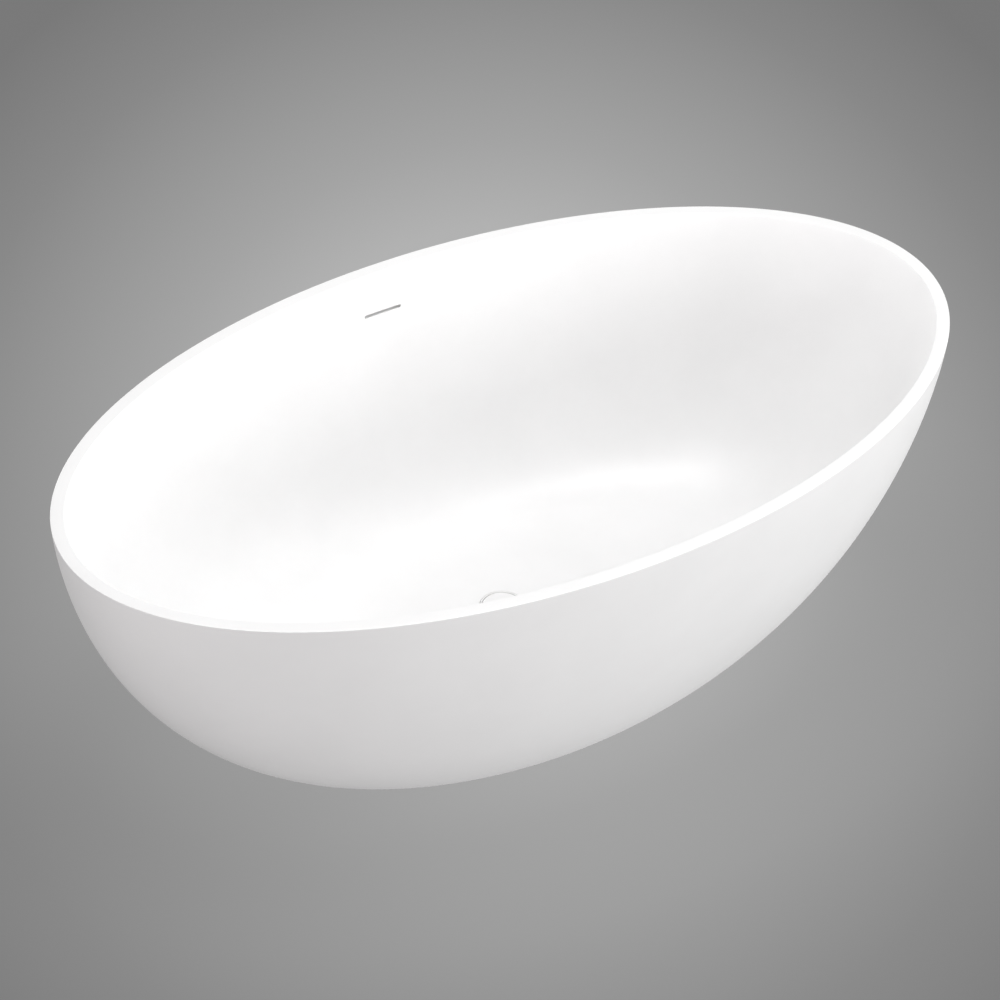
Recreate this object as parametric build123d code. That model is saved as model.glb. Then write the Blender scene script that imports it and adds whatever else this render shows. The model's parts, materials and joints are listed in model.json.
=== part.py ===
from build123d import *
import os
from math import cos, sin, tan, radians, atan2, hypot, remainder, pi

# Freestanding oval bath: an inner basin and an outer skirt, two cast shells joined at the rim, with a
# bearer frame on levelling feet, a slot overflow and a click waste with a shallow trap between them.
# Millimetres. The origin is on the floor under the middle; X runs along the bath, Y across it, Z up.

# ------------------------------------------------------------------ driving sizes: shells
rim_length = 1700.0
rim_width = 926.0
bath_height = 570.0
base_inset = 365.0             # rim to the foot of the skirt, along X
skirt_flare_angle = 30.0       # the skirt leaves the floor at this angle to it
skirt_flare_reach = 320.0
skirt_rim_angle = 84.0         # and reaches the rim nearly upright
skirt_rim_reach = 128.0
skirt_wall = 9.0
foot_lip_width = 28.0
foot_lip_thickness = 8.0

rim_ledge = 23.5
rim_thickness = 12.0
rim_arris = 1.6
bond_thickness = 0.6
basin_wall = 9.0
basin_depth = 440.0
basin_floor_thickness = 14.0
basin_floor_inset = 450.0      # rim to where the floor starts to curve up, along X
basin_floor_reach = 220.0
basin_rim_angle = 70.0
basin_rim_reach = 260.0

# ------------------------------------------------------------------ driving sizes: overflow
slot_length = 74.0
slot_height = 6.0
slot_below_rim = 77.0
slot_play = (4.0, 3.0)         # how much longer and higher the openings behind the slot are
chute_width = 96.0
chute_bottom_width = 34.0
chute_wall = 2.0
chute_above_slot = 12.0
chute_straight = 44.0          # full width down to here below the slot
overflow_gasket_thickness = 1.5
overflow_gasket_margin = 2.0   # chute edge to gasket edge
hose_radius = 10.5
hose_wall = 2.0
hose_start_gap = 5.0           # chute to the top of the hose
hose_play = 1.65               # hose clip to each shell where the hose starts
hose_turn = (38.0, 3.0)        # where the hose rounds the basin: in from the skirt, above the underside
hose_landing = (96.0, 7.0)     # where it levels out: in from the skirt, above the inlet
hose_level = 76.0              # its last level run before the inlet
spigot_wall = 1.9
spigot_fit = 0.1               # spigot in hose, on the radius
spigot_length = 16.0
spigot_root = 9.0              # how far the spigot's wall reaches back into the chute
clip_width = 8.0
clip_band = 0.8
clip_housing = (6.0, 9.0)
clip_screw_radius = 2.6
clip_screw_length = 15.0

# ------------------------------------------------------------------ driving sizes: waste and plug
waste_recess_radius = 40.0
waste_recess_depth = 7.0
waste_hole_radius = 27.0
tail_radius = 25.6
tail_wall = 3.6
tail_length = 36.5
gasket_thickness = 1.5
underside_gasket_thickness = 3.0
flange_radius = 39.0
flange_plate = 2.5
flange_lip = 2.5
flange_lip_height = 5.8
gasket_margin = 1.0            # gasket inside the flange edge and outside the hole
hub_wall = 3.0
hub_rise = 14.0                # end of the tail to the top of the hub
hub_thickness = 6.0
hub_arm_width = 4.0
plug_radius = 35.0
plug_edge = 3.0
plug_dome = 1.8
plug_bevel = 0.8
seal_thickness = 1.0
seal_inset = 4.0
seal_width = 5.0
stem_radius = 2.5
stem_boss_wall = 3.0
stem_boss_clearance = 0.8      # boss to cartridge when the plug is shut
piston_thickness = 3.0
cartridge_radius = 6.5
cartridge_length = 32.0
cartridge_wall = 1.6
cartridge_floor = 2.0
cartridge_cover = 3.0
cartridge_below_hub = 18.0     # top of the hub to the bottom of the cartridge
cartridge_collar = 2.0         # its collar's width and thickness
spring_length = 10.0
spring_wire = 0.9
spring_turns = 5
spring_play = 0.3
spring_end_gap = 0.1
barrel_wall = 4.4
barrel_rise = 10.0             # trap to the bottom of the barrel
barrel_floor_thickness = 3.5
body_flange_thickness = 3.0
inlet_boss_wall = 3.0
inlet_boss_reach = 8.0         # boss beyond the barrel
inlet_reach = 26.0             # barrel to the end of the inlet spigot
inlet_above_nut = 1.2          # trap nut to the inlet boss
outlet_radius = 20.0           # 40 mm waste pipe
pipe_wall = 2.6

# ------------------------------------------------------------------ driving sizes: trap
trap_bottom = 8.0
trap_top = 54.0
trap_wall = 3.0
trap_half_width = 37.0
trap_reach = 86.0              # how far the trap runs to the outlet side
trap_corner = 20.0
dip_tube_end = 22.0
weir_height = 30.0
weir_distance = 45.0
weir_thickness = 3.0
weir_play = 0.5                # weir edge inside the trap's outer face
outlet_height = 31.5
nut_wall = 4.0
nut_length = 9.0
nut_lip = 1.8
nut_ribs = 12
nut_rib = (2.4, 3.0)
nut_gap = 0.4                  # nut to the trap's face
trap_collar = 7.0
collar_wall = 3.5
collar_play = 0.5              # pipe in collar, on the radius
washer_play = (0.2, 0.1)       # washer inside the collar's edge and outside the pipe

# ------------------------------------------------------------------ driving sizes: outlet bend
bend_reach = 40.0              # trap outlet to the middle of the pipe in the floor
bend_radius = 20.5
socket_fit = 0.15              # 40 mm pipe in the socket, on the radius
socket_wall = 3.2
socket_depth = 13.0
socket_above_floor = 0.6

# ------------------------------------------------------------------ driving sizes: frame and feet
bearer_spacing = 480.0
bearer_length = 300.0
bearer_width = 40.0
bearer_height = 30.0
tube_wall = 2.5
rail_spacing = 200.0
rail_size = 25.0
foot_spacing = 240.0
screw_spacing = 120.0
screw_radius = 4.0
screw_bite = 8.0
screw_head_corners = 15.0
screw_head_height = 5.5
stud_radius = 6.0
stud_top_gap = 1.0
insert_wall = 4.0
insert_length = 14.0
insert_flange = 3.0
insert_flange_thickness = 2.0
nut_thickness = 8.0
nut_across_corners = 21.0
pad_radius = 25.0
pad_thickness = 8.0
pad_boss_radius = 11.0
pad_boss_height = 8.0
pad_rounding = 2.5
pad_root = 1.0                 # how far the boss is rooted in the pad
stud_seat = 3.0                # how deep the stud sits in the pad
adjuster_height = 8.0

# ------------------------------------------------------------------ clearances
running_fit = 0.06             # shaft in hole, on the radius
seat_gap = 0.3                 # curved or bonded faces that lie against each other
duct_clearance = 1.0           # overflow chute to the skirt
hose_clip_fit = 0.1            # clip band on the hose, on the radius
past = 1.0                     # how far a cut runs past the face it opens

# ------------------------------------------------------------------ places worked out from the sizes
rim_radius = rim_length / 2
base_radius = rim_radius - base_inset
rim_half_width = rim_width / 2
seam_top = bath_height - rim_thickness
seam_bottom = seam_top - bond_thickness
floor_top = bath_height - basin_depth
floor_underside = floor_top - basin_floor_thickness
slot_z = bath_height - slot_below_rim
far = rim_length               # longer than anything it cuts


# ------------------------------------------------------------------ shell curves
def along(point, angle, reach):
    return (point[0] + reach * cos(radians(angle)), point[1] + reach * sin(radians(angle)))


def moved_to_cavity(curve, start, end):
    """A four-point curve moved to its left, by START at its first end and END at its last."""
    def left(p, q, amount):
        run = hypot(q[0] - p[0], q[1] - p[1])
        return (-(q[1] - p[1]) / run * amount, (q[0] - p[0]) / run * amount)

    first = left(curve[0], curve[1], start)
    last = left(curve[2], curve[3], end)
    shifts = [first, first, last, last]
    return [(p[0] + s[0], p[1] + s[1]) for p, s in zip(curve, shifts)]


def bezier_point(curve, t):
    weights = ((1 - t) ** 3, 3 * t * (1 - t) ** 2, 3 * t * t * (1 - t), t ** 3)
    return tuple(sum(w * p[i] for w, p in zip(weights, curve)) for i in (0, 1))


def radius_at(curve, z):
    """Radius of a shell curve at height z, by halving."""
    low, high = (0.0, 1.0) if curve[0][1] < curve[3][1] else (1.0, 0.0)
    for _ in range(40):
        middle = (low + high) / 2
        if bezier_point(curve, middle)[1] < z:
            low = middle
        else:
            high = middle
    return bezier_point(curve, low)[0]


base_point = (base_radius, 0.0)
rim_point = (rim_radius, bath_height)
skirt_outside = [
    base_point,
    along(base_point, skirt_flare_angle, skirt_flare_reach),
    along(rim_point, skirt_rim_angle, -skirt_rim_reach),
    rim_point,
]
skirt_inside = moved_to_cavity(skirt_outside, skirt_wall, skirt_wall)

well_edge = (rim_radius - rim_ledge, bath_height)
floor_edge = (rim_radius - basin_floor_inset, floor_top)
basin_inside = [
    well_edge,
    along(well_edge, basin_rim_angle, -basin_rim_reach),
    (floor_edge[0] + basin_floor_reach, floor_top),
    floor_edge,
]
basin_back = moved_to_cavity(basin_inside, basin_wall, basin_floor_thickness)


def width_ratio(inset):
    """Surfaces are round in plan, then narrowed by this, so that walls keep their thickness across."""
    return (rim_half_width - inset) / (rim_radius - inset)


outside_ratio = width_ratio(0)
skirt_inside_ratio = width_ratio(skirt_wall)
well_ratio = width_ratio(rim_ledge)
back_ratio = width_ratio(rim_radius - basin_back[0][0])


def oval(edges, ratio):
    face = Plane.XZ * make_face(edges)
    return scale(revolve(face, Axis.Z), by=(1, ratio, 1))


def chain(points):
    return [Line(p, q) for p, q in zip(points, points[1:])]


def filled_below(curve, ratio, top, extra_below=0.0):
    """All inside a shell curve, closed on the axis, straight up to TOP and down by EXTRA_BELOW."""
    rim_end, low_end = (curve[0], curve[3]) if curve[0][1] > curve[3][1] else (curve[3], curve[0])
    outline = [low_end]
    if extra_below:
        outline.append((low_end[0], low_end[1] - extra_below))
    outline += [(0, low_end[1] - extra_below), (0, top), (rim_end[0], top)]
    if top > rim_end[1]:
        outline.append(rim_end)
    return oval([Bezier(*curve)] + chain(outline), ratio)


def band(low, high):
    return Pos(0, 0, (low + high) / 2) * Box(2 * far, 2 * far, high - low)


def grown(curve, amount):
    """The basin's back curve moved out from the basin by AMOUNT all along."""
    return moved_to_cavity(curve, amount, amount)


def ring(outer, inner, low, high):
    body = Pos(0, 0, (low + high) / 2) * Cylinder(outer, high - low)
    return body - Pos(0, 0, (low + high) / 2) * Cylinder(inner, high - low)


def rod(radius, low, high):
    return Pos(0, 0, (low + high) / 2) * Cylinder(radius, high - low)


def at_each(places, piece):
    return [Pos(x, y, 0) * piece for x, y in places]


# ------------------------------------------------------------------ shells
envelope = filled_below(skirt_outside, outside_ratio, bath_height + rim_thickness, foot_lip_thickness)
well = filled_below(basin_inside, well_ratio, bath_height + rim_thickness)
hollow_low = [
    (0, -2 * foot_lip_thickness),
    (base_radius - foot_lip_width, -2 * foot_lip_thickness),
    (base_radius - foot_lip_width, foot_lip_thickness),
    (radius_at(skirt_inside, foot_lip_thickness), foot_lip_thickness),
]
skirt_hollow = (
    filled_below(skirt_inside, skirt_inside_ratio, bath_height + rim_thickness)
    & band(foot_lip_thickness, far)
) + oval(chain(hollow_low + [(0, foot_lip_thickness), hollow_low[0]]), skirt_inside_ratio)

foot_places = [(x * bearer_spacing / 2, y * foot_spacing / 2) for x in (-1, 1) for y in (-1, 1)]
screw_places = [(x * bearer_spacing / 2, y * screw_spacing / 2) for x in (-1, 1) for y in (-1, 1)]


def slot_cutter(play=(0.0, 0.0)):
    outline = Plane.XZ * SlotOverall(slot_length + play[0], slot_height + play[1])
    return Pos(0, rim_half_width, slot_z) * extrude(outline, rim_half_width / 2)


def make_basin():
    bowl = filled_below(basin_back, back_ratio, basin_back[0][1]) & band(0, bath_height)
    body = bowl + (envelope & band(seam_top, bath_height)) - well
    body = fillet(body.edges().group_by(Axis.Z)[-1], rim_arris)
    body -= rod(waste_recess_radius, floor_top - waste_recess_depth, floor_top + waste_recess_depth)
    body -= rod(waste_hole_radius, floor_underside - past, floor_top)
    body -= slot_cutter()
    pilot = rod(screw_radius + running_fit, floor_underside - past, floor_underside + screw_bite + seat_gap)
    for hole in at_each(screw_places, pilot):
        body -= hole
    return body


def make_skirt():
    return (envelope & band(0, seam_bottom)) - skirt_hollow


def make_rim_bond():
    return (envelope & band(seam_bottom, seam_top)) - skirt_hollow


# ------------------------------------------------------------------ trap and outlet
collar_bore = outlet_radius + collar_play
collar_radius = collar_bore + collar_wall
nut_bore = collar_radius + running_fit
nut_radius = nut_bore + nut_wall
washer_thickness = nut_gap + nut_length - nut_lip - trap_collar
outlet_bore = outlet_radius - pipe_wall
outlet_face = Plane(origin=(0, -trap_reach, outlet_height), x_dir=(1, 0, 0), z_dir=(0, -1, 0))
socket_bore = outlet_radius + socket_fit
socket_top = socket_above_floor + socket_depth


def slip_nut():
    """Ribbed slip nut, its mouth NUT_GAP above z = 0 and a lip at its far end."""
    nut = ring(nut_radius, nut_bore, 0, nut_length)
    nut += ring(nut_radius, collar_bore, nut_length - nut_lip, nut_length)
    rib = Pos(nut_radius, 0, nut_length / 2) * Box(*nut_rib, nut_length)
    for number in range(nut_ribs):
        nut += Rot(0, 0, 360 * number / nut_ribs) * rib
    return Pos(0, 0, nut_gap) * nut


def washer():
    outer = collar_radius - washer_play[0]
    inner = outlet_radius + washer_play[1]
    return ring(outer, inner, trap_collar, trap_collar + washer_thickness)


def make_trap_body():
    """Shallow trap: an inlet well, an inner weir that keeps the seal, and the outlet beyond it."""
    middle = Pos(0, (trap_half_width - trap_reach) / 2, (trap_top + trap_bottom) / 2)
    length = trap_half_width + trap_reach
    height = trap_top - trap_bottom
    outer = middle * Box(2 * trap_half_width, length, height)
    outer = fillet(outer.edges().filter_by(Axis.Z), trap_corner)
    inner = middle * Box(2 * (trap_half_width - trap_wall), length - 2 * trap_wall, height - 2 * trap_wall)
    inner = fillet(inner.edges().filter_by(Axis.Z), trap_corner - trap_wall)
    body = outer - inner
    body += rod(collar_radius, trap_top - trap_wall, trap_top + trap_collar)
    body += outlet_face * rod(collar_radius, -trap_wall, trap_collar)
    weir = Box(2 * (trap_half_width - weir_play), weir_thickness, weir_height)
    body += Pos(0, -weir_distance, trap_bottom + weir_height / 2) * weir
    body -= rod(collar_bore, trap_top - trap_wall, trap_top + trap_collar)
    return body - outlet_face * rod(collar_bore, -trap_wall, trap_collar)


def bend(radius):
    """A bar of RADIUS along the outlet bend, from the trap's outlet down to the socket."""
    corner = (0, -trap_reach - bend_reach, outlet_height)
    foot = (0, corner[1], outlet_height - bend_radius - past)
    path = FilletPolyline((0, -trap_reach, outlet_height), corner, foot, radius=bend_radius)
    section = Plane(origin=path @ 0, z_dir=path % 0) * Circle(radius)
    return sweep(section, path=path)


def make_outlet_elbow():
    """Swept bend: a tail into the trap's nut, and a socket that takes the pipe in the floor."""
    below = Pos(0, -trap_reach - bend_reach, 0)
    socket = below * rod(socket_bore + socket_wall, socket_above_floor, socket_top + socket_wall)
    body = (bend(outlet_radius) & band(socket_top, far)) + socket
    body -= bend(outlet_bore)
    return body - below * rod(socket_bore, socket_above_floor - past, socket_top)


# ------------------------------------------------------------------ overflow
chute_top_z = slot_z + chute_above_slot
hose_bore = hose_radius - hose_wall
spigot_radius = hose_bore - spigot_fit
spigot_bore = spigot_radius - spigot_wall
clip_radius = hose_radius + hose_clip_fit + clip_band
trap_nut_top = trap_top + nut_gap + nut_length
inlet_boss_radius = spigot_radius + inlet_boss_wall
inlet_height = trap_nut_top + inlet_above_nut + inlet_boss_radius
inlet_end = tail_radius + running_fit + barrel_wall + inlet_reach


def back_y(z, away=0.0):
    return radius_at(grown(basin_back, away), z) * back_ratio


def skirt_y(z):
    return radius_at(skirt_inside, z) * skirt_inside_ratio


def cavity_middle(z):
    """Middle of the cavity across the bath, at x = 0 and height z."""
    return (back_y(z) + skirt_y(z)) / 2


def height_with_room(room):
    """The highest place in the cavity, at x = 0, that is ROOM wide, by halving."""
    low, high = floor_top, slot_z
    for _ in range(40):
        middle = (low + high) / 2
        if skirt_y(middle) - back_y(middle) > room:
            low = middle
        else:
            high = middle
    return low


chute_bottom_z = height_with_room(2 * (clip_radius + hose_play))
hose_top_z = chute_bottom_z - hose_start_gap
hose_turn_z = floor_underside + hose_turn[1]
hose_step = (hose_top_z - hose_turn_z) / 3
hose_route = [(cavity_middle(z), z) for z in (hose_top_z, hose_top_z - hose_step, hose_top_z - 2 * hose_step)]
hose_route += [
    (skirt_y(floor_top) - hose_turn[0], hose_turn_z),
    (skirt_y(floor_top) - hose_landing[0], inlet_height + hose_landing[1]),
    (inlet_end + hose_level, inlet_height),
    (inlet_end - spigot_length, inlet_height),
]


def bend_radii(points):
    """The largest arc at each corner: 0.45 of the shorter run over the tangent of half the turn."""
    radii = []
    for a, b, c in zip(points, points[1:], points[2:]):
        runs = (hypot(b[0] - a[0], b[1] - a[1]), hypot(c[0] - b[0], c[1] - b[1]))
        turn = atan2(c[1] - b[1], c[0] - b[0]) - atan2(b[1] - a[1], b[0] - a[0])
        radii.append(0.45 * min(runs) / tan(abs(remainder(turn, 2 * pi)) / 2))
    return radii


def hose_solid(radius):
    points = [(0, y, z) for y, z in hose_route]
    path = FilletPolyline(*points, radius=bend_radii(hose_route))
    section = Plane(origin=path @ 0, z_dir=path % 0) * Circle(radius)
    return sweep(section, path=path), path.length


def hose_plane(start, following, distance):
    """A plane across the hose, DISTANCE along it from START, facing FOLLOWING."""
    run = hypot(following[0] - start[0], following[1] - start[1])
    step = ((following[0] - start[0]) / run, (following[1] - start[1]) / run)
    origin = (0, start[0] + step[0] * distance, start[1] + step[1] * distance)
    return Plane(origin=origin, x_dir=(1, 0, 0), z_dir=(0, step[0], step[1]))


def make_overflow_gasket():
    window_width = chute_width - 2 * overflow_gasket_margin
    window = Box(window_width, far, 2 * (chute_above_slot - overflow_gasket_margin))
    outer = filled_below(grown(basin_back, seat_gap + overflow_gasket_thickness), back_ratio, bath_height)
    inner = filled_below(grown(basin_back, seat_gap), back_ratio, bath_height)
    pad = (outer & Pos(0, 0, slot_z) * window & Pos(0, far / 2, 0) * Box(far, far, 2 * far)) - inner
    return pad - slot_cutter(slot_play)


def chute_block(inset):
    """The chute's outline between the two shells, drawn in all round by INSET."""
    half = chute_width / 2 - inset
    low_half = chute_bottom_width / 2 - inset
    outline = Polyline(
        (-half, chute_top_z - inset),
        (half, chute_top_z - inset),
        (half, slot_z - chute_straight),
        (low_half, chute_bottom_z + inset),
        (-low_half, chute_bottom_z + inset),
        (-half, slot_z - chute_straight),
        close=True,
    )
    block = Pos(0, rim_half_width, 0) * extrude(Plane.XZ * make_face(outline.edges()), rim_half_width / 2)
    from_skirt = skirt_wall + duct_clearance + inset
    skirt_side = moved_to_cavity(skirt_outside, from_skirt, from_skirt)
    front = filled_below(skirt_side, width_ratio(from_skirt), bath_height + rim_ledge)
    away = 2 * seat_gap + overflow_gasket_thickness + inset
    return (block & front) - filled_below(grown(basin_back, away), back_ratio, bath_height)


def chute_slot():
    """The slot through the chute's back wall alone."""
    from_skirt = skirt_wall + duct_clearance + chute_wall
    skirt_side = moved_to_cavity(skirt_outside, from_skirt, from_skirt)
    return slot_cutter(slot_play) & filled_below(skirt_side, width_ratio(from_skirt), bath_height + rim_ledge)


def chute_spigot(radius, root):
    length = root + spigot_length
    return hose_plane(hose_route[0], hose_route[1], -root) * Pos(0, 0, length / 2) * Cylinder(radius, length)


def make_overflow_chute():
    body = chute_block(0) + chute_spigot(spigot_radius, spigot_root)
    body -= chute_block(chute_wall)
    body -= chute_slot()
    return body - chute_spigot(spigot_bore, spigot_length)


def make_overflow_hose():
    outer, length = hose_solid(hose_radius)
    inner, _ = hose_solid(hose_bore)
    print(f"overflow hose: length {length:.0f} mm, least bend radius {min(bend_radii(hose_route)):.0f} mm")
    return outer - inner


def make_hose_clips():
    """A band with a screw housing round each end of the hose."""
    inner = hose_radius + hose_clip_fit
    band_ring = Cylinder(clip_radius, clip_width) - Cylinder(inner, clip_width)
    housing = Pos(clip_radius + clip_housing[0] / 2 - clip_band, 0, 0) * Box(*clip_housing, clip_width)
    screw = Pos(clip_radius + clip_housing[0] / 2, 0, 0) * Rot(90, 0, 0)
    screw *= Cylinder(clip_screw_radius, clip_screw_length)
    clip = band_ring + ((housing + screw) - Cylinder(inner, 3 * clip_width))
    ends = [(hose_route[0], hose_route[1]), (hose_route[-1], hose_route[-2])]
    return [hose_plane(start, following, spigot_length / 2) * clip for start, following in ends]


# ------------------------------------------------------------------ waste
gasket_base = floor_top - waste_recess_depth
flange_base = gasket_base + gasket_thickness
flange_top = flange_base + flange_plate
tail_bottom = flange_base - tail_length
tail_bore = tail_radius - tail_wall
hub_radius = cartridge_radius + hub_wall
hub_top = tail_bottom + hub_rise
body_top = floor_underside - underside_gasket_thickness
barrel_radius = tail_radius + running_fit + barrel_wall
barrel_bottom = trap_top + barrel_rise


def make_waste_flange():
    """Dished flange, threaded tail and a three-armed hub for the click cartridge."""
    body = ring(flange_radius, tail_bore, flange_base, flange_top)
    body += ring(flange_radius, flange_radius - flange_lip, flange_base, flange_base + flange_lip_height)
    body += ring(tail_radius, tail_bore, tail_bottom, flange_top)
    arm = Box(tail_bore + tail_wall - hub_radius, hub_arm_width, hub_thickness)
    arm = Pos((tail_bore + hub_radius) / 2, 0, hub_top - hub_thickness / 2) * arm
    for turn in (0, 120, 240):
        body += Rot(0, 0, turn) * arm
    body += rod(hub_radius, hub_top - hub_thickness, hub_top)
    return body - rod(cartridge_radius + running_fit, tail_bottom, flange_top)


def waste_gasket(low, high):
    return ring(flange_radius - gasket_margin, waste_hole_radius + gasket_margin, low, high)


def inlet_bar(radius, length):
    """A bar of RADIUS out of the barrel towards the overflow hose."""
    return Pos(0, length / 2, inlet_height) * Rot(90, 0, 0) * Cylinder(radius, length)


def make_waste_body():
    """Tee under the bath: threaded barrel, overflow inlet at the side, dip tube into the trap."""
    body = ring(flange_radius, tail_radius + running_fit, body_top - body_flange_thickness, body_top)
    body += rod(barrel_radius, barrel_bottom, body_top)
    body += inlet_bar(inlet_boss_radius, barrel_radius + inlet_boss_reach)
    body += inlet_bar(spigot_radius, inlet_end)
    body += rod(outlet_radius, dip_tube_end, barrel_bottom)
    body -= rod(tail_radius + running_fit, barrel_bottom + barrel_floor_thickness, body_top)
    body -= rod(outlet_bore, dip_tube_end, body_top)
    return body - inlet_bar(spigot_bore, inlet_end)


# ------------------------------------------------------------------ plug
seal_base = flange_top + seat_gap
plug_base = seal_base + seal_thickness
cartridge_bottom = hub_top - cartridge_below_hub
cartridge_top = cartridge_bottom + cartridge_length
cartridge_bore = cartridge_radius - cartridge_wall
spring_base = cartridge_bottom + cartridge_floor
piston_base = spring_base + spring_length
stem_end = plug_base + plug_edge / 2
boss_radius = stem_radius + stem_boss_wall


def make_plug_cap():
    """Low domed cap with a boss below for the stem."""
    edge_top = plug_base + plug_edge
    dome_edge = plug_radius - plug_bevel
    dome = Bezier((dome_edge, edge_top), (dome_edge / 2, edge_top + plug_dome), (0, edge_top + plug_dome))
    boss_base = cartridge_top + stem_boss_clearance
    outline = [
        (0, edge_top + plug_dome),
        (0, stem_end),
        (stem_radius, stem_end),
        (stem_radius, boss_base),
        (boss_radius, boss_base),
        (boss_radius, plug_base),
        (plug_radius, plug_base),
        (plug_radius, edge_top - plug_bevel),
        (dome_edge, edge_top),
    ]
    return revolve(Plane.XZ * make_face(chain(outline) + [dome]), Axis.Z)


def make_plug_seal():
    outer = plug_radius - seal_inset
    return ring(outer, outer - seal_width, seal_base, plug_base)


def make_plug_stem():
    stem = rod(stem_radius, piston_base, stem_end)
    return stem + rod(cartridge_bore - running_fit, piston_base, piston_base + piston_thickness)


def make_click_cartridge():
    body = rod(cartridge_radius, cartridge_bottom, cartridge_top)
    collar_base = hub_top + spring_end_gap
    body += rod(cartridge_radius + cartridge_collar, collar_base, collar_base + cartridge_collar)
    body -= rod(cartridge_bore, spring_base, cartridge_top - cartridge_cover)
    return body - rod(stem_radius + running_fit, spring_base, cartridge_top)


def make_cartridge_spring():
    coil_radius = cartridge_bore - spring_wire / 2 - spring_play
    height = spring_length - spring_wire - 2 * spring_end_gap
    path = Helix(height / spring_turns, height, coil_radius)
    section = Plane(origin=path @ 0, z_dir=path % 0) * Circle(spring_wire / 2)
    base = spring_base + spring_wire / 2 + spring_end_gap
    return Pos(0, 0, base) * sweep(section, path=path, is_frenet=True)


# ------------------------------------------------------------------ frame and feet
frame_top = floor_underside - seat_gap
bearer_bottom = frame_top - bearer_height
insert_bore = stud_radius + running_fit
insert_radius = insert_bore + insert_wall


def box_tube(length, width, height, low):
    """Square tube along X, its underside at LOW."""
    middle = Pos(0, 0, low + height / 2)
    hollow = Box(length, width - 2 * tube_wall, height - 2 * tube_wall)
    return middle * Box(length, width, height) - middle * hollow


def make_cross_bearer(side):
    body = Rot(0, 0, 90) * box_tube(bearer_length, bearer_width, bearer_height, bearer_bottom)
    for y in (-foot_spacing / 2, foot_spacing / 2):
        hole = rod(insert_radius + seat_gap, bearer_bottom - past, bearer_bottom + tube_wall + past)
        body -= Pos(0, y, 0) * hole
    for y in (-screw_spacing / 2, screw_spacing / 2):
        body -= Pos(0, y, 0) * rod(screw_radius + seat_gap, bearer_bottom - past, frame_top + past)
    return Pos(side * bearer_spacing / 2, 0, 0) * body


def make_side_rail(side):
    length = bearer_spacing - bearer_width
    return Pos(0, side * rail_spacing / 2, 0) * box_tube(length, rail_size, rail_size, frame_top - rail_size)


def hexagon(across_corners, low, high):
    return Pos(0, 0, low) * extrude(RegularPolygon(across_corners / 2, 6), high - low)


def make_bearer_screw():
    head = hexagon(screw_head_corners, bearer_bottom - screw_head_height, bearer_bottom)
    return head + rod(screw_radius, bearer_bottom, floor_underside + screw_bite)


def make_foot_insert():
    body = rod(insert_radius, bearer_bottom, bearer_bottom + insert_length)
    body += rod(insert_radius + insert_flange, bearer_bottom - insert_flange_thickness, bearer_bottom)
    return body - rod(insert_bore, bearer_bottom - insert_flange_thickness, bearer_bottom + insert_length)


def make_lock_nut():
    top = bearer_bottom - insert_flange_thickness
    return hexagon(nut_across_corners, top - nut_thickness, top) - rod(insert_bore, top - nut_thickness, top)


def make_foot_stud():
    """Threaded stud with a hexagon for the spanner just above its pad."""
    adjuster = pad_thickness + pad_boss_height
    stud = rod(stud_radius, pad_thickness - stud_seat, frame_top - tube_wall - stud_top_gap)
    return stud + hexagon(nut_across_corners, adjuster, adjuster + adjuster_height)


def make_foot_pad():
    pad = Cylinder(pad_radius, pad_thickness)
    pad = fillet(pad.edges().sort_by(Axis.Z)[-1], pad_rounding)
    pad = Pos(0, 0, pad_thickness / 2) * pad
    pad += rod(pad_boss_radius, pad_thickness - pad_root, pad_thickness + pad_boss_height)
    return pad - rod(stud_radius, pad_thickness - stud_seat, pad_thickness + pad_boss_height)


# ------------------------------------------------------------------ nodes
def as_group(pieces):
    return pieces[0] if len(pieces) == 1 else Compound(children=list(pieces))


nodes = {
    "basin": [make_basin()],
    "skirt": [make_skirt()],
    "rim_bond": [make_rim_bond()],
    "cross_bearer_left": [make_cross_bearer(-1)],
    "cross_bearer_right": [make_cross_bearer(1)],
    "side_rail_front": [make_side_rail(-1)],
    "side_rail_back": [make_side_rail(1)],
    "bearer_screws": at_each(screw_places, make_bearer_screw()),
    "foot_inserts": at_each(foot_places, make_foot_insert()),
    "foot_lock_nuts": at_each(foot_places, make_lock_nut()),
    "overflow_gasket": [make_overflow_gasket()],
    "overflow_chute": [make_overflow_chute()],
    "overflow_hose": [make_overflow_hose()],
    "hose_clips": make_hose_clips(),
    "waste_flange": [make_waste_flange()],
    "flange_gasket": [waste_gasket(gasket_base, flange_base)],
    "underside_gasket": [waste_gasket(body_top, floor_underside)],
    "waste_body": [make_waste_body()],
    "plug_cap": [make_plug_cap()],
    "plug_seal": [make_plug_seal()],
    "plug_stem": [make_plug_stem()],
    "click_cartridge": [make_click_cartridge()],
    "cartridge_spring": [make_cartridge_spring()],
    "trap_body": [make_trap_body()],
    "trap_nut": [Pos(0, 0, trap_top) * slip_nut()],
    "trap_washer": [Pos(0, 0, trap_top) * washer()],
    "outlet_nut": [outlet_face * slip_nut()],
    "outlet_washer": [outlet_face * washer()],
    "outlet_elbow": [make_outlet_elbow()],
}
for number, place in enumerate(foot_places, start=1):
    nodes[f"foot_stud_{number}"] = at_each([place], make_foot_stud())
    nodes[f"foot_pad_{number}"] = at_each([place], make_foot_pad())

os.makedirs("parts", exist_ok=True)
for name, pieces in nodes.items():
    export_step(as_group(pieces), f"parts/{name}.step")
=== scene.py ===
import json
import math

import bmesh
import bpy
from bpy.props import FloatProperty, FloatVectorProperty, IntProperty, PointerProperty
from mathutils import Matrix, Vector


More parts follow.
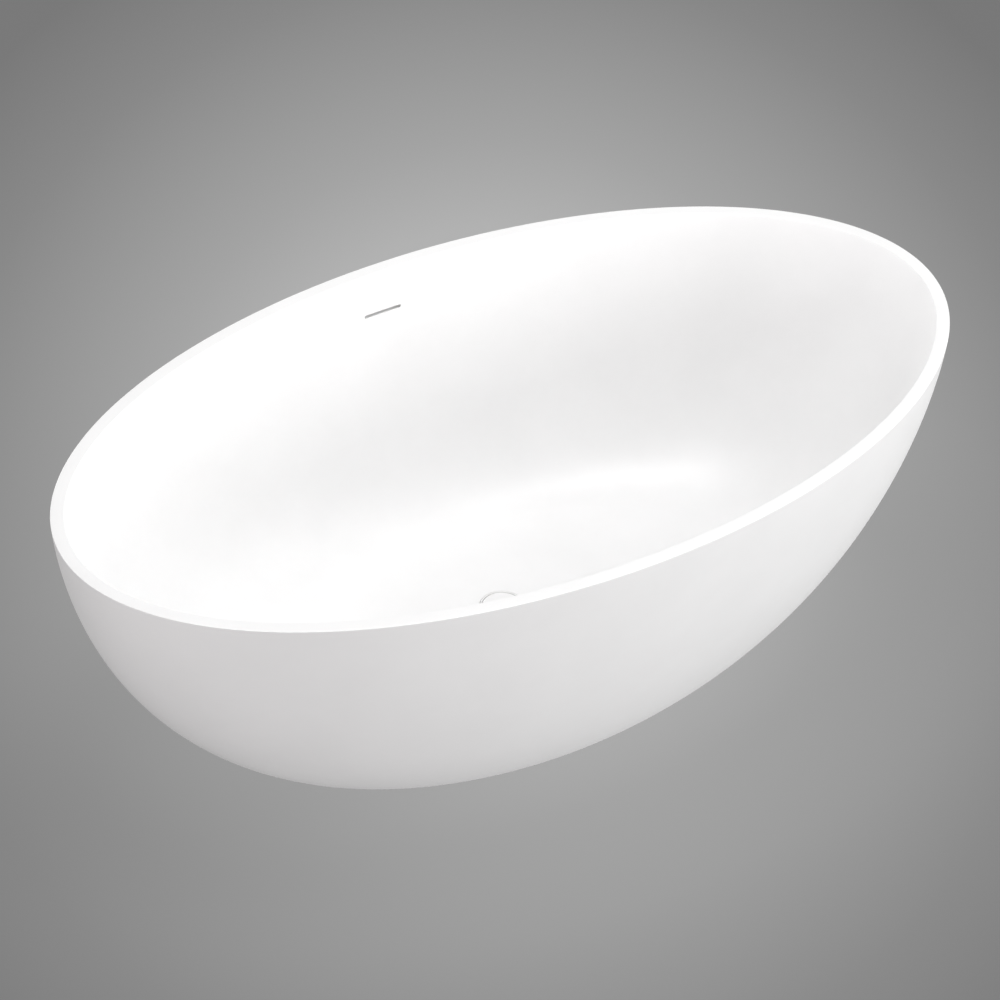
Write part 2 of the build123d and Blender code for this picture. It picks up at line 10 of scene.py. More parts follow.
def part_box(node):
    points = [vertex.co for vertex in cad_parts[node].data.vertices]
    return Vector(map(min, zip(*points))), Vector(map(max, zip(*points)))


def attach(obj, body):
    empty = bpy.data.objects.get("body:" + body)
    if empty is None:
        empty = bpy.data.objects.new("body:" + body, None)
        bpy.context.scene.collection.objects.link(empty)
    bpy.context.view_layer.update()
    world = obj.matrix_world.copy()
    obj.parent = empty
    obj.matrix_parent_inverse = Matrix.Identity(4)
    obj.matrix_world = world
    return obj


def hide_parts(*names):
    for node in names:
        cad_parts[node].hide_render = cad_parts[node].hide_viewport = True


bl_info = {
    "name": "Freestanding Bath",
    "version": (1, 0, 0),
    "blender": (4, 5, 0),
    "location": "View3D > Sidebar > Bath",
    "description": "Dresses the packed model of an oval freestanding bath and sets its studio",
    "category": "Object",
}

FEET = (1, 2, 3, 4)

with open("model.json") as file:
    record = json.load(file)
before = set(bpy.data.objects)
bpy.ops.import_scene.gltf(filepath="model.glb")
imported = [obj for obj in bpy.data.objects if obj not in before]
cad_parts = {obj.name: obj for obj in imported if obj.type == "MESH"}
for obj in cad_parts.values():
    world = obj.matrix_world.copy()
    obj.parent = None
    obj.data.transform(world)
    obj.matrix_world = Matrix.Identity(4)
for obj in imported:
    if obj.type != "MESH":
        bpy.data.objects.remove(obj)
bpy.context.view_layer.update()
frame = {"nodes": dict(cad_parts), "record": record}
basin_low, basin_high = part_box("basin")
skirt_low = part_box("skirt")[0]
bond_low, bond_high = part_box("rim_bond")
gasket_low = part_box("flange_gasket")[0]
chute_low, chute_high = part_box("overflow_chute")


# ------------------------------------------------------------------ settings
class BathShellSettings(bpy.types.PropertyGroup):
    rim_length: FloatProperty(
        name="Rim length", description="Overall length at the rim",
        default=basin_high.x - basin_low.x, unit="LENGTH")
    rim_width: FloatProperty(
        name="Rim width", description="Overall width at the rim",
        default=basin_high.y - basin_low.y, unit="LENGTH")
    height: FloatProperty(
        name="Height", description="Floor to rim", default=basin_high.z, unit="LENGTH")
    base_length: FloatProperty(
        name="Base length", description="Length of the foot of the skirt", default=0.970, unit="LENGTH")
    skirt_flare: FloatProperty(
        name="Skirt flare", description="Angle of the skirt to the floor at its foot",
        default=math.radians(30), subtype="ANGLE")
    skirt_flare_reach: FloatProperty(
        name="Skirt flare reach", description="How strongly the foot angle is held", default=0.320,
        unit="LENGTH")
    skirt_rim: FloatProperty(
        name="Skirt at rim", description="Angle of the skirt at the rim",
        default=math.radians(84), subtype="ANGLE")
    skirt_rim_reach: FloatProperty(
        name="Skirt rim reach", description="How strongly the rim angle is held", default=0.128,
        unit="LENGTH")
    skirt_wall: FloatProperty(
        name="Skirt wall", description="Thickness of the outer shell", default=0.009, unit="LENGTH")
    basin_wall: FloatProperty(
        name="Basin wall", description="Thickness of the inner shell", default=0.009, unit="LENGTH")
    rim_ledge: FloatProperty(
        name="Rim ledge", description="Width of the flat top of the rim", default=0.0235, unit="LENGTH")
    inner_arris: FloatProperty(
        name="Inner arris", description="Rounding of the inner rim edge", default=0.00098, unit="LENGTH")
    outer_arris: FloatProperty(
        name="Outer arris", description="Rounding of the outer rim edge", default=0.00126, unit="LENGTH")
    recess_arris: FloatProperty(
        name="Recess arris", description="Rounding of the edge of the waste's recess", default=0.0006,
        unit="LENGTH")
    basin_depth: FloatProperty(
        name="Basin depth", description="Rim to basin floor", default=0.440, unit="LENGTH")
    basin_floor: FloatProperty(
        name="Basin floor", description="Half length of the level part of the floor", default=0.400,
        unit="LENGTH")
    basin_floor_reach: FloatProperty(
        name="Basin floor reach", description="How slowly the floor starts to rise", default=0.220,
        unit="LENGTH")
    basin_rim: FloatProperty(
        name="Basin at rim", description="Angle of the basin wall at the rim",
        default=math.radians(70), subtype="ANGLE")
    basin_rim_reach: FloatProperty(
        name="Basin rim reach", description="How strongly that angle is held", default=0.260,
        unit="LENGTH")
    recess_radius: FloatProperty(
        name="Waste recess", description="Radius of the recess round the waste", default=0.040,
        unit="LENGTH")
    waste_hole: FloatProperty(
        name="Waste hole", description="Radius of the hole under the waste", default=0.027, unit="LENGTH")
    foot_lip: FloatProperty(
        name="Foot lip", description="Width of the flat lip under the skirt", default=0.028, unit="LENGTH")
    foot_lip_thickness: FloatProperty(
        name="Foot lip thickness", description="Thickness of that lip", default=0.008, unit="LENGTH")
    foot_arris: FloatProperty(
        name="Foot arris", description="Rounding where the skirt meets the floor", default=0.0018,
        unit="LENGTH")
    slot_length: FloatProperty(
        name="Slot length", description="Length of the overflow slot", default=0.074, unit="LENGTH")
    slot_height: FloatProperty(
        name="Slot height", description="Height of the overflow slot", default=0.006, unit="LENGTH")
    slot_below_rim: FloatProperty(
        name="Slot below rim", description="Rim to the middle of the slot", default=0.077, unit="LENGTH")
    around: IntProperty(
        name="Steps around", description="Mesh steps round the oval", default=288, min=48)
    up: IntProperty(
        name="Steps up", description="Mesh steps up each wall", default=96, min=24)


class BathFittingSettings(bpy.types.PropertyGroup):
    stud_pitch: FloatProperty(
        name="Stud pitch", description="Thread pitch of the levelling feet", default=0.00175, unit="LENGTH")
    thread_depth: FloatProperty(
        name="Thread depth", description="Depth of that thread", default=0.0010, unit="LENGTH")
    adjuster_corners: FloatProperty(
        name="Adjuster", description="Across the corners of the spanner hexagon", default=0.021,
        unit="LENGTH")
    adjuster_height: FloatProperty(
        name="Adjuster height", description="Height of the spanner hexagon", default=0.008, unit="LENGTH")
    adjuster_chamfer: FloatProperty(
        name="Adjuster chamfer", description="Chamfer of its corners", default=0.0009, unit="LENGTH")
    hose_radius: FloatProperty(
        name="Hose radius", description="Outer radius of the overflow hose", default=0.0105, unit="LENGTH")
    hose_wall: FloatProperty(
        name="Hose wall", description="Wall of the overflow hose under its grooves", default=0.0009,
        unit="LENGTH")
    hose_pitch: FloatProperty(
        name="Hose pitch", description="Distance from one ring of the hose to the next", default=0.0042,
        unit="LENGTH")
    hose_groove: FloatProperty(
        name="Hose groove", description="Depth of the grooves between the rings", default=0.0011,
        unit="LENGTH")
    hose_cuff: FloatProperty(
        name="Hose cuff", description="Plain length at each end of the hose", default=0.021,
        unit="LENGTH")


class BathFinishSettings(bpy.types.PropertyGroup):
    resin: FloatVectorProperty(
        name="Cast resin", description="Colour of the two shells", subtype="COLOR",
        default=(0.896, 0.893, 0.893))
    coated: FloatVectorProperty(
        name="Coated metal", description="Colour of the waste flange and plug", subtype="COLOR",
        default=(0.885, 0.88, 0.88))
    plastic: FloatVectorProperty(
        name="White plastic", description="Colour of the trap and overflow chute", subtype="COLOR",
        default=(0.80, 0.80, 0.785))
    hose: FloatVectorProperty(
        name="Hose", description="Colour of the overflow hose", subtype="COLOR", default=(0.33, 0.34, 0.35))
    rubber: FloatVectorProperty(
        name="Rubber", description="Colour of pads and seals", subtype="COLOR", default=(0.028, 0.028, 0.03))
    steel: FloatVectorProperty(
        name="Zinc steel", description="Colour of frame and feet", subtype="COLOR",
        default=(0.56, 0.57, 0.58))
    brass: FloatVectorProperty(
        name="Brass", description="Colour of inserts and stem", subtype="COLOR", default=(0.72, 0.52, 0.24))
    roughness: FloatProperty(
        name="Shell roughness", description="Roughness of the cast resin", default=0.42, min=0, max=1)


class BathStageSettings(bpy.types.PropertyGroup):
    # The pool is a painted pool of light on the floor: its colour is lighter under the bath.
    pool: FloatProperty(
        name="Pool", description="Half width of the lighter part of the floor", default=1.30, unit="LENGTH")
    painted_pool_beyond: FloatProperty(
        name="Pool beyond", description="How far the pool's middle lies beyond the middle of the view",
        default=0.10, unit="LENGTH")
    floor_glow: FloatProperty(
        name="Floor glow", description="Share of the floor's lightness that doesn't come from the lights",
        default=0.82, min=0, max=1)
    brightness: FloatProperty(
        name="Brightness", description="Factor on the soft lights and the sky", default=0.91, min=0)
    sky: FloatProperty(name="Sky", description="Strength of the even light all round", default=0.18, min=0)
    light_width: FloatProperty(
        name="Light width", description="Width of each soft light", default=2.5, unit="LENGTH")
    light_height: FloatProperty(
        name="Light height", description="Height of each soft light, which clears the floor", default=2.1,
        unit="LENGTH")
    light_distance: FloatProperty(
        name="Light distance", description="Bath to each soft light", default=5.0, unit="LENGTH")
    light_spread: FloatProperty(
        name="Light spread", description="How wide each soft light shines", default=math.radians(140),
        subtype="ANGLE")


# ------------------------------------------------------------------ shell curves
# Each corner is rounded in so many steps, the waste recess's smaller one in fewer.
ARRIS_STEPS = 4
RECESS_ARRIS_STEPS = 3
# Mesh steps on the band between the rim and the seam, and under the basin.
BAND_STEPS = 5
UNDERSIDE_STEPS = 6
# At 1 the basin floor's rings are evenly spaced. Above it they crowd towards the waste.
FLOOR_CROWDING = 1.4
# The basin floor takes one ring for so many of the wall's steps, and so does a hidden inner face.
FLOOR_THINNING = 4
HIDDEN_THINNING = 2
# How often a search on a curve halves its span.
HALVINGS = 40


def along(point, angle, reach):
    return (point[0] + reach * math.cos(angle), point[1] + reach * math.sin(angle))


def moved_left(curve, start, end):
    """A four-point curve moved to its left, by START at its first end and END at its last."""
    def left(p, q, amount):
        run = math.hypot(q[0] - p[0], q[1] - p[1])
        return (-(q[1] - p[1]) / run * amount, (q[0] - p[0]) / run * amount)

    first = left(curve[0], curve[1], start)
    last = left(curve[2], curve[3], end)
    return [(p[0] + s[0], p[1] + s[1]) for p, s in zip(curve, (first, first, last, last))]


def curve_point(curve, t):
    weights = ((1 - t) ** 3, 3 * t * (1 - t) ** 2, 3 * t * t * (1 - t), t ** 3)
    return tuple(sum(w * p[i] for w, p in zip(weights, curve)) for i in (0, 1))


def at_height(curve, z):
    """Where a rising four-point curve passes height z, as its parameter."""
    low, high = 0.0, 1.0
    for _ in range(HALVINGS):
        middle = (low + high) / 2
        if curve_point(curve, middle)[1] < z:
            low = middle
        else:
            high = middle
    return low


def between(curve, start, end, steps):
    return [curve_point(curve, start + (end - start) * i / steps) for i in range(steps + 1)]


class ShellDrawing:
    """The curves of both shells, rising, as (half length, height)."""

    def __init__(self, s):
        self.half = s.rim_length / 2
        self.half_width = s.rim_width / 2
        self.floor = s.height - s.basin_depth
        base = (s.base_length / 2, skirt_low.z)
        rim = (self.half, s.height)
        self.outside = [
            base,
            along(base, s.skirt_flare, s.skirt_flare_reach),
            along(rim, s.skirt_rim, -s.skirt_rim_reach),
            rim,
        ]
        self.inside = moved_left(self.outside, s.skirt_wall, s.skirt_wall)
        edge = (self.half - s.rim_ledge, s.height)
        falling = [
            edge,
            along(edge, s.basin_rim, -s.basin_rim_reach),
            (s.basin_floor + s.basin_floor_reach, self.floor),
            (s.basin_floor, self.floor),
        ]
        self.well = falling[::-1]
        self.back = moved_left(falling, s.basin_wall, self.floor - basin_low.z)[::-1]

    def ring(self, point, inset):
        """An oval (half length, half width, height) through POINT of a surface INSET from the rim."""
        ratio = (self.half_width - inset) / (self.half - inset)
        return (point[0], point[0] * ratio, point[1])

    def rings(self, points, inset):
        return [self.ring(p, inset) for p in points]


# ------------------------------------------------------------------ shell rings
def round_ring(radius, z):
    return (radius, radius, z)


def blended(ring, other, share):
    """A ring that is SHARE of the way from RING to OTHER."""
    return tuple(a + (b - a) * share for a, b in zip(ring, other))


def towards(ring, other, distance):
    """A ring DISTANCE from RING on the way to OTHER, measured on the long axis."""
    run = math.hypot(other[0] - ring[0], other[2] - ring[2])
    return blended(ring, other, distance / run)


def arris(before, corner, after, steps=ARRIS_STEPS):
    """Rounds a corner between three rings."""
    rounded = []
    for i in range(steps + 1):
        share = i / steps
        rounded.append(blended(blended(before, corner, share), blended(corner, after, share), share))
    return rounded


def recess_rings(s, d):
    """Up the waste's hole, out over its recess and round the recess's edge on to the basin floor."""
    hole = s.waste_hole
    recess = s.recess_radius
    rings = [round_ring(hole, basin_low.z), round_ring(hole, gasket_low.z), round_ring(recess, gasket_low.z)]
    under_edge = round_ring(recess, d.floor - s.recess_arris)
    past_edge = round_ring(recess + s.recess_arris, d.floor)
    return rings + arris(under_edge, round_ring(recess, d.floor), past_edge, RECESS_ARRIS_STEPS)


def well_rings(s, d, start):
    """From ring START over the basin floor and up the well to just under the rim."""
    floor_end = d.ring(d.well[0], s.rim_ledge)
    steps = s.up // FLOOR_THINNING
    rings = [blended(start, floor_end, (i / steps) ** FLOOR_CROWDING) for i in range(1, steps)]
    top = at_height(d.well, s.height - s.inner_arris)
    return rings + d.rings(between(d.well, 0.0, top, s.up), s.rim_ledge)


def rim_rings(s, d, start):
    """From ring START over the flat rim and down the outside to the seam."""
    inner_corner = (d.half - s.rim_ledge, d.half_width - s.rim_ledge, s.height)
    outer_corner = (d.half, d.half_width, s.height)
    top = at_height(d.outside, s.height - s.outer_arris)
    seam = at_height(d.outside, bond_high.z)
    band = d.rings(between(d.outside, top, seam, BAND_STEPS), 0.0)
    rings = arris(start, inner_corner, towards(inner_corner, outer_corner, s.inner_arris))[1:]
    rings += arris(towards(outer_corner, inner_corner, s.outer_arris), outer_corner, band[0])
    return rings + band[1:]


def back_rings(s, d, end):
    """From the seam down the back of the well, then in under it to just before ring END."""
    inset = d.half - d.back[-1][0]
    seam = at_height(d.back, bond_high.z)
    rings = d.rings(between(d.back, seam, 0.0, s.up // HIDDEN_THINNING), inset)
    return rings + [blended(rings[-1], end, i / UNDERSIDE_STEPS) for i in range(1, UNDERSIDE_STEPS)]


# ------------------------------------------------------------------ meshes
# Edges flatter than this are shaded smooth.
CRISP_ANGLE = math.radians(32)
SLOT_END_STEPS = 12


def linked(name, work):
    """Ends a bmesh as a named object in the scene."""
    mesh = bpy.data.meshes.new(name)
    bmesh.ops.recalc_face_normals(work, faces=work.faces)
    work.to_mesh(mesh)
    work.free()
    piece = bpy.data.objects.new(name, mesh)
    bpy.context.scene.collection.objects.link(piece)
    return piece


def joined_rings(work, rows):
    """Faces between each row of vertices and the next."""
    for low, high in zip(rows, rows[1:]):
        for i in range(len(low)):
            j = (i + 1) % len(low)
            work.faces.new((low[i], low[j], high[j], high[i]))


def capped_rings(work, rows):
    """Faces between the rows, and one across each end."""
    joined_rings(work, rows)
    work.faces.new(rows[0][::-1])
    work.faces.new(rows[-1])


def oval_solid(name, rings, steps):
    """A closed mesh through rings that come back to the first one."""
    work = bmesh.new()
    rows = []
    for half_length, half_width, z in rings:
        row = []
        for i in range(steps):
            turn = 2 * math.pi * (i + 0.5) / steps
            row.append(work.verts.new((half_length * math.cos(turn), half_width * math.sin(turn), z)))
        rows.append(row)
    joined_rings(work, rows + rows[:1])
    piece = linked(name, work)
    smooth(piece)
    return piece


def smooth(piece, angle=CRISP_ANGLE):
    """Smooth shading, with edges sharper than ANGLE kept crisp."""
    piece.data.shade_smooth()
    work = bmesh.new()
    work.from_mesh(piece.data)
    for edge in work.edges:
        edge.smooth = len(edge.link_faces) == 2 and edge.calc_face_angle(0.0) < angle
    work.to_mesh(piece.data)
    work.free()


def cut(piece, cutter):
    """Takes CUTTER out of PIECE for good."""
    modifier = piece.modifiers.new("cut", "BOOLEAN")
    modifier.operation = "DIFFERENCE"
    modifier.solver = "EXACT"
    modifier.object = cutter
    graph = bpy.context.evaluated_depsgraph_get()
    mesh = bpy.data.meshes.new_from_object(piece.evaluated_get(graph))
    piece.modifiers.clear()
    piece.data = mesh
    bpy.data.objects.remove(cutter)


def slot_cutter(s):
    """A bar with rounded ends, through the far wall of the basin."""
    radius = s.slot_height / 2
    reach = s.slot_length / 2 - radius
    z = s.height - s.slot_below_rim
    outline = []
    for side in (1, -1):
        for i in range(SLOT_END_STEPS + 1):
            turn = math.pi * (i / SLOT_END_STEPS - 0.5)
            outline.append((side * (reach + radius * math.cos(turn)), z + side * radius * math.sin(turn)))
    near = (chute_low.y + basin_high.y) / 2 - s.basin_wall
    far = chute_high.y
    work = bmesh.new()
    capped_rings(work, [[work.verts.new((x, y, h)) for x, h in outline] for y in (near, far)])
    return linked("slot_cutter", work)


def screw_cutter():
    """The frame's screws as one solid, for their holes in the underside of the basin."""
    cutter = bpy.data.objects.new("screw_cutter", frame["nodes"]["bearer_screws"].data.copy())
    bpy.context.scene.collection.objects.link(cutter)
    return cutter


# ------------------------------------------------------------------ levelling studs
ROD_SIDES = 36
ROD_ROWS_PER_TURN = 10
# How fast a thread's flank rises from its root: 2 would end in a sharp crest, more leaves it flat.
FLANK_STEEPNESS = 3.2
HEXAGON_SIDES = 6
# Within this of a stud's top, only the bare rod is left.
TOP_SLICE = 0.0001


def stud_radius(node):
    """Half the width of a stud at its very top, above its hexagon."""
    mesh = frame["nodes"][node].data
    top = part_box(node)[1].z
    across = [vertex.co.x for vertex in mesh.vertices if vertex.co.z > top - TOP_SLICE]
    return (max(across) - min(across)) / 2


def level_row(work, middle, reaches, z):
    """Vertices evenly round MIDDLE at height z, each as far out as REACHES says."""
    row = []
    for i, reach in enumerate(reaches):
        turn = 2 * math.pi * i / len(reaches)
        row.append(work.verts.new((
            middle[0] + reach * math.cos(turn), middle[1] + reach * math.sin(turn), z)))
    return row


def threaded_rod(work, radius, pitch, depth, low, high, middle):
    """A rod with a real helical thread, closed at both ends, in bmesh WORK."""
    count = int((high - low) / (pitch / ROD_ROWS_PER_TURN))
    rows = []
    for k in range(count + 1):
        z = low + (high - low) * k / count
        run_in = min(1.0, min(z - low, high - z) / pitch)
        reaches = []
        for i in range(ROD_SIDES):
            phase = (z / pitch - i / ROD_SIDES) % 1.0
            crest = min(1.0, FLANK_STEEPNESS * abs(phase - 0.5))
            reaches.append(radius - depth * max(1.0 - crest, 1.0 - run_in))
        rows.append(level_row(work, middle, reaches, z))
    capped_rings(work, rows)


def chamfered_hexagon(work, corners, chamfer, low, high, middle):
    """A spanner hexagon with its edges taken off, closed, in bmesh WORK."""
    full = corners / 2
    profile = ((full - chamfer, low), (full, low + chamfer), (full, high - chamfer), (full - chamfer, high))
    capped_rings(work, [level_row(work, middle, [reach] * HEXAGON_SIDES, z) for reach, z in profile])


# ------------------------------------------------------------------ overflow hose
# The overflow hose runs down the cavity behind the slot, round the basin and in to the waste: (y, z).
HOSE_ROUTE = (
    (0.4110, 0.3582), (0.3867, 0.2785), (0.3531, 0.1987), (0.3061, 0.1190), (0.2481, 0.0830),
    (0.1321, 0.0760), (0.0401, 0.0760),
)
# The whole route lies at x = 0, so this is square to the hose everywhere.
HOSE_SIDEWAYS = Vector((1, 0, 0))
ROUTE_FINENESS = 64
HOSE_SIDES = 32
ROWS_PER_RIB = 8
# The hose's fine ribs are shaded smooth over steeper edges than the rest is.
HOSE_CRISP_ANGLE = math.radians(50)


def route_line(points):
    """Points along the smooth curve of a route, with the distance to each."""
    curve = bpy.data.curves.new("route", "CURVE")
    curve.dimensions = "3D"
    curve.resolution_u = ROUTE_FINENESS
    spline = curve.splines.new("NURBS")
    spline.points.add(len(points) - 1)
    for point, (y, z) in zip(spline.points, points):
        point.co = (0, y, z, 1)
    spline.order_u = 3
    spline.use_endpoint_u = True
    carrier = bpy.data.objects.new("route", curve)
    mesh = bpy.data.meshes.new_from_object(carrier)
    line = [vertex.co.copy() for vertex in mesh.vertices]
    bpy.data.objects.remove(carrier)
    bpy.data.meshes.remove(mesh)
    gone = [0.0]
    for a, b in zip(line, line[1:]):
        gone.append(gone[-1] + (b - a).length)
    return line, gone


def place_on(line, gone, distance):
    """The point of a line at a distance along it, and its direction there."""
    k = 0
    while k < len(gone) - 2 and gone[k + 1] < distance:
        k += 1
    step = line[k + 1] - line[k]
    share = (distance - gone[k]) / (gone[k + 1] - gone[k])
    return line[k] + step * share, step.normalized()


def hose_rings(s):
    """The hose's rings as (point, direction, radius): out along its ribs, and back along its bore."""
    line, gone = route_line(HOSE_ROUTE)
    length = gone[-1]
    count = int(length / s.hose_pitch * ROWS_PER_RIB)
    bore = s.hose_radius - s.hose_wall - s.hose_groove
    outer, inner = [], []
    for k in range(count + 1):
        distance = length * k / count
        point, ahead = place_on(line, gone, distance)
        groove = 0.0
        if min(distance, length - distance) >= s.hose_cuff:
            wave = 0.5 - 0.5 * math.cos(2 * math.pi * distance / s.hose_pitch)
            groove = s.hose_groove * wave ** 2
        outer.append((point, ahead, s.hose_radius - groove))
        if k % ROWS_PER_RIB == 0 or k == count:
            inner.append((point, ahead, bore))
    return outer + inner[::-1]


def hose_row(work, point, ahead, reach):
    """Vertices in a circle round POINT, square to the direction AHEAD."""
    other = ahead.cross(HOSE_SIDEWAYS)
    row = []
    for i in range(HOSE_SIDES):
        turn = 2 * math.pi * i / HOSE_SIDES
        row.append(work.verts.new(point + (HOSE_SIDEWAYS * math.cos(turn) + other * math.sin(turn)) * reach))
    return row


# ------------------------------------------------------------------ finishes
# Most values of a noise lie between these two.
NOISE_LOW = 0.3
NOISE_HIGH = 0.7
CHROME = (0.82, 0.83, 0.84)
CHROME_HAZE = (0.76, 0.77, 0.78)
CHROME_BRIGHT = (0.84, 0.85, 0.86)


class Finish:
    """Node material built up step by step on one Principled shader."""

    def __init__(self, name, colour, metallic, roughness):
        self.material = bpy.data.materials.new(name)
        self.material.use_nodes = True
        self.tree = self.material.node_tree
        self.shader = self.tree.nodes["Principled BSDF"]
        self.shader.inputs["Metallic"].default_value = metallic
        self.shader.inputs["Roughness"].default_value = roughness
        self.shader.inputs["Base Color"].default_value = (*colour, 1)
        self.where = self.tree.nodes.new("ShaderNodeTexCoord").outputs["Object"]
        self.colour = colour
        self.normal = None

    def noise(self, scale, detail=4.0, rough=0.5, stretch=None):
        node = self.tree.nodes.new("ShaderNodeTexNoise")
        node.inputs["Scale"].default_value = scale
        node.inputs["Detail"].default_value = detail
        node.inputs["Roughness"].default_value = rough
        where = self.where
        if stretch:
            mapping = self.tree.nodes.new("ShaderNodeMapping")
            mapping.inputs["Scale"].default_value = stretch
            self.tree.links.new(where, mapping.inputs["Vector"])
            where = mapping.outputs["Vector"]
        self.tree.links.new(where, node.inputs["Vector"])
        return node.outputs["Fac"]

    def colours(self, value, dark, light, start=NOISE_LOW, stop=NOISE_HIGH):
        """Base colour from DARK, where the value is START, to LIGHT, where it is STOP."""
        ramp = self.tree.nodes.new("ShaderNodeValToRGB")
        ramp.color_ramp.elements[0].position = start
        ramp.color_ramp.elements[1].position = stop
        ramp.color_ramp.elements[0].color = (*dark, 1)
        ramp.color_ramp.elements[1].color = (*light, 1)
        self.tree.links.new(value, ramp.inputs["Fac"])
        self.tree.links.new(ramp.outputs["Color"], self.shader.inputs["Base Color"])
        return ramp

    def tones(self, value, dark, light):
        """Base colour from DARK times to LIGHT times the finish's own."""
        self.colours(value, shade(self.colour, dark), shade(self.colour, light))

    def rough(self, value, low, high):
        """Roughness from LOW to HIGH."""
        node = self.tree.nodes.new("ShaderNodeMapRange")
        node.inputs["From Min"].default_value = NOISE_LOW
        node.inputs["From Max"].default_value = NOISE_HIGH
        node.inputs["To Min"].default_value = low
        node.inputs["To Max"].default_value = high
        self.tree.links.new(value, node.inputs["Value"])
        self.tree.links.new(node.outputs["Result"], self.shader.inputs["Roughness"])

    def bump(self, value, depth):
        """Adds relief DEPTH metres deep."""
        node = self.tree.nodes.new("ShaderNodeBump")
        node.inputs["Distance"].default_value = depth
        node.inputs["Strength"].default_value = 1.0
        self.tree.links.new(value, node.inputs["Height"])
        if self.normal:
            self.tree.links.new(self.normal, node.inputs["Normal"])
        self.normal = node.outputs["Normal"]
        self.tree.links.new(self.normal, self.shader.inputs["Normal"])


def shade(colour, factor):
    return tuple(min(1.0, c * factor) for c in colour)


def cast_resin(s):
    """Satin white mineral resin: faint cloudiness, a sanded micro surface, slightly uneven gloss."""
    finish = Finish("cast_resin", s.resin, metallic=0.0, roughness=s.roughness)
    finish.tones(finish.noise(scale=7.0, detail=5.0, rough=0.6), dark=0.985, light=1.012)
    gloss = finish.noise(scale=23.0, detail=6.0, rough=0.65)
    finish.rough(gloss, low=s.roughness - 0.04, high=s.roughness + 0.05)
    finish.bump(finish.noise(scale=1400.0, detail=2.0), depth=0.000012)
    finish.bump(finish.noise(scale=60.0, detail=3.0), depth=0.00003)
    return finish.material


def coated_metal(s):
    """Matt white coating over brass, with a fine even texture."""
    finish = Finish("white_coated_metal", s.coated, metallic=0.0, roughness=0.36)
    finish.tones(finish.noise(scale=60.0), dark=0.975, light=1.01)
    finish.rough(finish.noise(scale=220.0), low=0.32, high=0.42)
    finish.bump(finish.noise(scale=2200.0, detail=2.0), depth=0.00001)
    return finish.material


def moulded_plastic(name, colour):
    """Plastic with the faint cloudiness and grain of a mould."""
    finish = Finish(name, colour, metallic=0.0, roughness=0.45)
    finish.tones(finish.noise(scale=35.0, detail=5.0), dark=0.94, light=1.02)
    finish.rough(finish.noise(scale=160.0), low=0.38, high=0.55)
    finish.bump(finish.noise(scale=1800.0, detail=2.0), depth=0.00002)
    return finish.material


def white_plastic(s):
    return moulded_plastic("white_plastic", s.plastic)


def grey_hose(s):
    return moulded_plastic("grey_hose", s.hose)


def zinc_steel(s):
    """Zinc-plated steel with its blotchy crystals."""
    finish = Finish("zinc_steel", s.steel, metallic=1.0, roughness=0.35)
    finish.tones(finish.noise(scale=90.0, detail=6.0, rough=0.7), dark=0.78, light=1.15)
    finish.rough(finish.noise(scale=130.0, detail=5.0), low=0.26, high=0.5)
    finish.bump(finish.noise(scale=900.0), depth=0.00003)
    return finish.material


def turned_brass(s):
    """Brass with fine marks of the lathe across it."""
    finish = Finish("turned_brass", s.brass, metallic=1.0, roughness=0.3)
    finish.tones(finish.noise(scale=140.0, detail=5.0), dark=0.8, light=1.15)
    finish.rough(finish.noise(scale=300.0), low=0.2, high=0.42)
    finish.bump(finish.noise(scale=700.0, stretch=(0.2, 0.2, 3.0)), depth=0.00002)
    return finish.material


def polished_chrome(s):
    """Chrome with the slight haze of a part that is never wiped."""
    finish = Finish("polished_chrome", CHROME, metallic=1.0, roughness=0.1)
    finish.colours(finish.noise(scale=80.0), CHROME_HAZE, CHROME_BRIGHT)
    finish.rough(finish.noise(scale=260.0, detail=6.0), low=0.06, high=0.2)
    return finish.material


def black_rubber(s):
    """Black rubber, dusty and finely grained."""
    finish = Finish("black_rubber", s.rubber, metallic=0.0, roughness=0.75)
    finish.tones(finish.noise(scale=120.0, detail=6.0), dark=0.75, light=1.6)
    finish.rough(finish.noise(scale=400.0), low=0.62, high=0.85)
    finish.bump(finish.noise(scale=1500.0), depth=0.00005)
    return finish.material


# The finish of each of the record's material slots: the bond is colour-matched to the shells.
SLOT_FINISHES = {
    "cast_resin": cast_resin,
    "bond": cast_resin,
    "white_coated_metal": coated_metal,
    "white_plastic": white_plastic,
    "grey_hose": grey_hose,
    "steel": zinc_steel,
    "brass": turned_brass,
    "chrome": polished_chrome,
    "rubber": black_rubber,
}
MADE_FINISHES = {}


def finish_of(slot):
    """The finish for one of the record's material slots, made once."""
    maker = SLOT_FINISHES[slot]
    if maker not in MADE_FINISHES:
        MADE_FINISHES[maker] = maker(bpy.context.scene.bath_finish)
    return MADE_FINISHES[maker]


def dress(piece, slot):
    piece.data.materials.clear()
    piece.data.materials.append(finish_of(slot))


def as_resin_piece(piece, node):
    """A shell piece rides with the bath, stands for its node and takes the resin finish."""
    dress(piece, "cast_resin")
    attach(piece, "bath")
    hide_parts(node)


# ------------------------------------------------------------------ stage
# Painted pool of light on the floor: how light its colour is, from the middle of the pool (0) to the edge
# of it (1), with (place, lightness) between the two.
PAINTED_POOL_MIDDLE = (0.47, 0.47, 0.47)
PAINTED_POOL_SHADES = ((0.36, 0.433), (0.50, 0.360), (0.65, 0.300), (0.80, 0.240))
PAINTED_POOL_EDGE = (0.185, 0.185, 0.185)
FLOOR_REACH = 60.0
FLOOR_GLOSS = 0.1

WHITE = (1.0, 1.0, 1.0)
FAINT_ROSE = (1.0, 0.955, 0.965)
